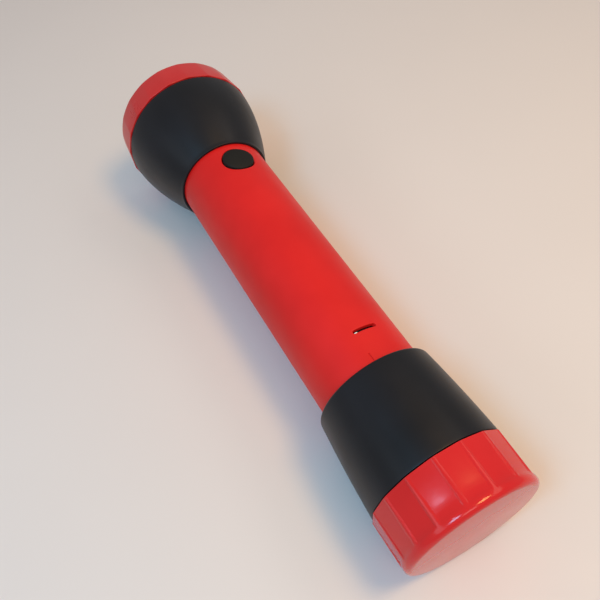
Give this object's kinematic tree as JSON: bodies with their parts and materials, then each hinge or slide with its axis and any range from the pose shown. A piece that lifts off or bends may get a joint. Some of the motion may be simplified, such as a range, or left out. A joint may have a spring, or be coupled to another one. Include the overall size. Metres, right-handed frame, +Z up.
{
  "type": "traffic signal torch",
  "caption": "Plastic signal torch with a bell head, screw bezel, side push switch, straight barrel and screw tail end, lying on its side.",
  "frame": {"origin": "bottom centre of the box round the torch as it lies on the ground, on its tail band and one bezel flat", "axes": "+X along the length towards the lens, +Z up; the torch axis rises 1.6 degrees towards the lens because the bezel is wider than the tail"},
  "size_m": [0.2316, 0.0616, 0.0616],
  "materials": {
    "red_satin": "satin moulded plastic",
    "red_gloss": "glossy moulded plastic",
    "black_matte": "fine matte moulded plastic",
    "black_rubber": "matte rubber",
    "dark_plastic": "plain moulded plastic",
    "white_plastic": "plain moulded plastic",
    "clear_lens": "clear polished plastic",
    "mirror_coat": "vacuum-metallised",
    "aluminium_board": "bare sheet",
    "brass_contact": "plain sheet",
    "spring_steel": "plated",
    "cell_sleeve": "printed shrink sleeve without print",
    "led_phosphor": "phosphor",
    "led_silicone": "clear silicone"
  },
  "bodies": {
    "torch_body": {"barrel_tube": "red_satin", "bell_housing": "black_matte", "reflector": "mirror_coat", "led_board": "aluminium_board", "led_package": "led_phosphor", "led_dome": "led_silicone", "board_screw_left": "spring_steel", "board_screw_right": "spring_steel", "lamp_holder": "white_plastic", "lamp_pin": "brass_contact", "neck_seal": "black_rubber", "switch_housing": "dark_plastic", "boot_clamp_ring": "dark_plastic", "plunger_spring": "spring_steel", "rear_terminal": "brass_contact", "front_terminal": "brass_contact", "rear_cell_can": "cell_sleeve", "rear_cell_seal": "dark_plastic", "rear_cell_nub": "spring_steel", "front_cell_can": "cell_sleeve", "front_cell_seal": "dark_plastic", "front_cell_nub": "spring_steel", "front_contact": "brass_contact", "return_strip": "brass_contact", "tail_seal": "black_rubber"},
    "switch_button": {"switch_boot": "black_rubber", "switch_plunger": "white_plastic", "contact_bridge": "brass_contact"},
    "spring_plate": {"tail_contact": "brass_contact", "tail_spring": "spring_steel"},
    "tail_end": {"tail_collar": "black_matte", "tail_cap": "red_gloss"},
    "lens_carrier": {"lens": "clear_lens", "lens_gasket": "black_rubber"},
    "front_ring": {"bezel_ring": "red_satin"}
  },
  "joints": [
    {"name": "switch_press", "type": "slide", "parent": "torch_body", "child": "switch_button", "axis": [0.0271, 0.2436, -0.9695], "range_m": [0, 0.0018], "stiffness_N_per_m": 1500},
    {"name": "tail_travel", "type": "slide", "parent": "torch_body", "child": "spring_plate", "axis": [-0.9996, 0, -0.0279], "range_m": [0, 0.0106]},
    {"name": "tail_turn", "type": "hinge", "parent": "spring_plate", "child": "tail_end", "pos_m": [-0.11513, 0, 0.02478], "axis": [-0.9996, 0, -0.0279], "range_deg": [0, 1260]},
    {"name": "bezel_travel", "type": "slide", "parent": "torch_body", "child": "lens_carrier", "axis": [0.9996, 0, 0.0279], "range_m": [0, 0.0038]},
    {"name": "bezel_turn", "type": "hinge", "parent": "lens_carrier", "child": "front_ring", "pos_m": [0.10678, 0, 0.03099], "axis": [0.9996, 0, 0.0279], "range_deg": [0, 450]}
  ],
  "couplings": [
    {"joint": "tail_travel", "follows": "tail_turn", "m_per_rad": 0.00047746},
    {"joint": "bezel_travel", "follows": "bezel_turn", "m_per_rad": 0.00047746}
  ]
}
